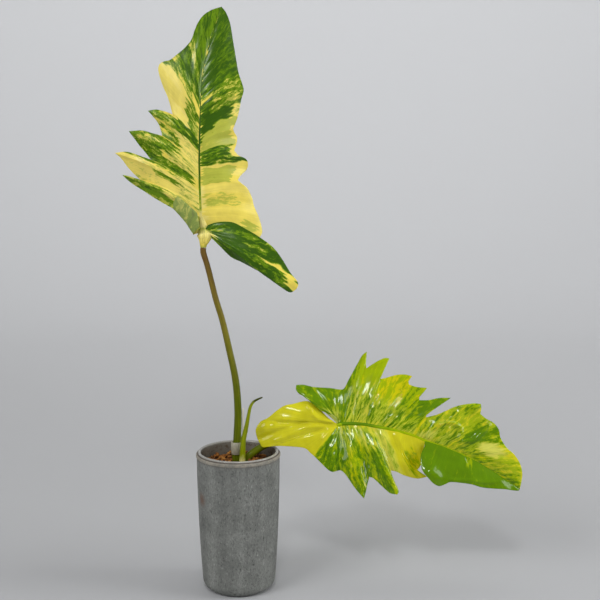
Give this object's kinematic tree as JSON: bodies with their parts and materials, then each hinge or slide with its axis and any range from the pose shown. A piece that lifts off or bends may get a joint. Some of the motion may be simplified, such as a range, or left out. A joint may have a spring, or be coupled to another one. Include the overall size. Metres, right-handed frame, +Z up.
{
  "type": "potted variegated philodendron",
  "caption": "Young climbing aroid with lobed, yellow and green variegated leaves and a new shoot, growing in a tall round stoneware planter.",
  "frame": {"origin": "centre of the planter's flat foot, on the surface that it stands on", "axes": "+Z up, -Y towards the side that the upper faces of the leaves show, +X to the right where the low leaf reaches"},
  "size_m": [0.3586, 0.0769, 0.5175],
  "materials": {
    "stoneware": "matt grey stoneware, sanded body, thin glazed lip",
    "substrate": "loose bark and pumice chunks",
    "stem": "green plant stem",
    "petiole_tall": "smooth stalk, brown above and olive below",
    "petiole_low": "smooth green stalk",
    "new_shoot": "smooth green sheath with a dry dark tip",
    "stick": "thin pale support stick",
    "clip": "milky plastic plant clip",
    "blade_tall": "waxy leaf, dark green marbled with clear yellow",
    "blade_low": "waxy leaf, lime green marbled with yellow"
  },
  "bodies": {
    "root": {"pot": "stoneware", "substrate": "substrate", "stem": "stem", "petiole_tall": "petiole_tall", "petiole_low": "petiole_low", "new_shoot": "new_shoot", "stick": "stick", "clip": "clip", "blade_tall": "blade_tall", "blade_low": "blade_low"}
  },
  "joints": []
}
